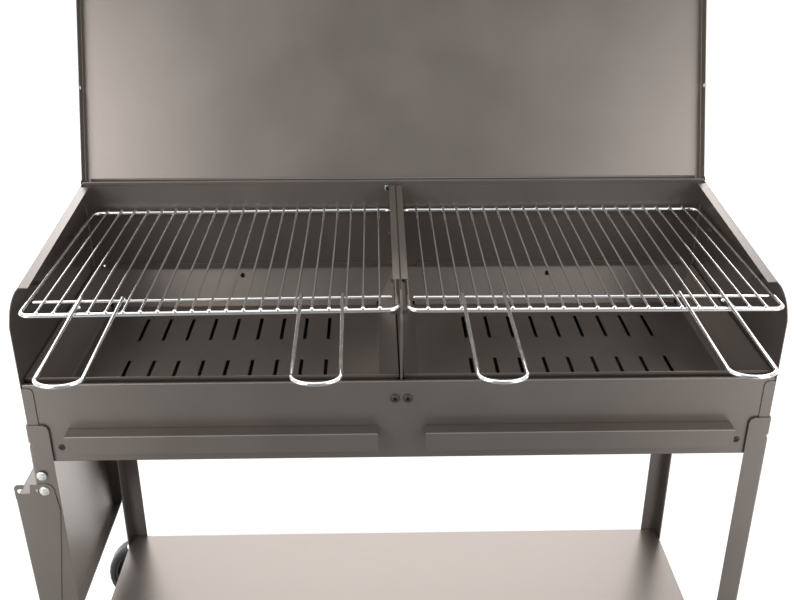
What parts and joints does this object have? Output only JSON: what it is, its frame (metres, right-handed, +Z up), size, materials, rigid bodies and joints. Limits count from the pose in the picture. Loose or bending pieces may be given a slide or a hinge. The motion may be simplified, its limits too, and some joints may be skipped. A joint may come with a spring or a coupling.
{
  "type": "charcoal barbecue",
  "caption": "Free-standing charcoal barbecue of folded steel on angle legs: wire cooking grids, hinged lid, ash drawers, shelf and folding side table.",
  "frame": {"origin": "centre of the bounding box at ground level", "axes": "+X to the cook's right, +Y away from the cook, +Z up"},
  "size_m": [1.0646, 0.8207, 1.2405],
  "materials": {
    "graphite_paint": "satin",
    "chrome_wire": "polished",
    "zinc_bolt": "satin",
    "black_plastic": "matt",
    "grey_rubber": "matt"
  },
  "bodies": {
    "cart": {"axle": "zinc_bolt", "axle_cap_back": "black_plastic", "axle_cap_front": "black_plastic", "back_wall": "graphite_paint", "box_bolt_back_left": "zinc_bolt", "box_bolt_back_right": "zinc_bolt", "box_bolt_front_left": "zinc_bolt", "box_bolt_front_right": "zinc_bolt", "divider_left": "graphite_paint", "divider_right": "graphite_paint", "drawer_runner_left": "graphite_paint", "drawer_runner_right": "graphite_paint", "fire_pan_left": "graphite_paint", "fire_pan_right": "graphite_paint", "foot_back": "black_plastic", "foot_front": "black_plastic", "front_panel": "graphite_paint", "front_screw_left": "graphite_paint", "front_screw_right": "graphite_paint", "hinge_bolt_left": "zinc_bolt", "hinge_bolt_right": "zinc_bolt", "latch_bolt_back": "zinc_bolt", "latch_bolt_front": "zinc_bolt", "leg_back_left": "graphite_paint", "leg_back_right": "graphite_paint", "leg_front_left": "graphite_paint", "leg_front_right": "graphite_paint", "middle_runner": "graphite_paint", "pan_support_back": "graphite_paint", "pan_support_front": "graphite_paint", "shelf": "graphite_paint", "shelf_bolt_back_left": "zinc_bolt", "shelf_bolt_back_right": "zinc_bolt", "shelf_bolt_front_left": "zinc_bolt", "shelf_bolt_front_right": "zinc_bolt", "side_wall_left": "graphite_paint", "side_wall_right": "graphite_paint"},
    "lid": {"lid": "graphite_paint", "lid_handle": "chrome_wire"},
    "table_pivots": {"table_pivot_front": "zinc_bolt", "table_pivot_back": "zinc_bolt"},
    "side_table": {"side_table": "graphite_paint"},
    "grid_left": {"grid_left": "chrome_wire", "grid_left_handle_left": "chrome_wire", "grid_left_handle_right": "chrome_wire"},
    "grid_right": {"grid_right": "chrome_wire", "grid_right_handle_left": "chrome_wire", "grid_right_handle_right": "chrome_wire"},
    "ash_drawer_left": {"ash_tray_left": "graphite_paint", "drawer_pull_left": "graphite_paint"},
    "ash_drawer_right": {"ash_tray_right": "graphite_paint", "drawer_pull_right": "graphite_paint"},
    "wheel_front": {"wheel_front": "black_plastic", "tyre_front": "grey_rubber"},
    "wheel_back": {"wheel_back": "black_plastic", "tyre_back": "grey_rubber"}
  },
  "joints": [
    {"name": "lid_hinge", "type": "hinge", "parent": "cart", "child": "lid", "pos_m": [0.02582, 0.21507, 0.857], "axis": [1, 0, 0], "range_deg": [0, 117.5]},
    {"name": "table_swing", "type": "hinge", "parent": "cart", "child": "table_pivots", "pos_m": [-0.46568, 0.00307, 0.5575], "axis": [0, 1, 0], "range_deg": [0, 91.2]},
    {"name": "table_latch", "type": "slide", "parent": "table_pivots", "child": "side_table", "axis": [0.9998, 0, 0.0209], "range_m": [0, 0.0092]},
    {"name": "grid_slide_left", "type": "slide", "parent": "cart", "child": "grid_left", "axis": [0, -1, 0], "range_m": [0, 0.42]},
    {"name": "ash_drawer_slide_left", "type": "slide", "parent": "cart", "child": "ash_drawer_left", "axis": [0, -1, 0], "range_m": [0, 0.42]},
    {"name": "grid_slide_right", "type": "slide", "parent": "cart", "child": "grid_right", "axis": [0, -1, 0], "range_m": [0, 0.42]},
    {"name": "ash_drawer_slide_right", "type": "slide", "parent": "cart", "child": "ash_drawer_right", "axis": [0, -1, 0], "range_m": [0, 0.42]},
    {"name": "wheel_spin_front", "type": "hinge", "parent": "cart", "child": "wheel_front", "pos_m": [-0.45768, -0.19693, 0.075], "axis": [0, 1, 0], "continuous": true},
    {"name": "wheel_spin_back", "type": "hinge", "parent": "cart", "child": "wheel_back", "pos_m": [-0.45768, -0.19693, 0.075], "axis": [0, 1, 0], "continuous": true}
  ]
}
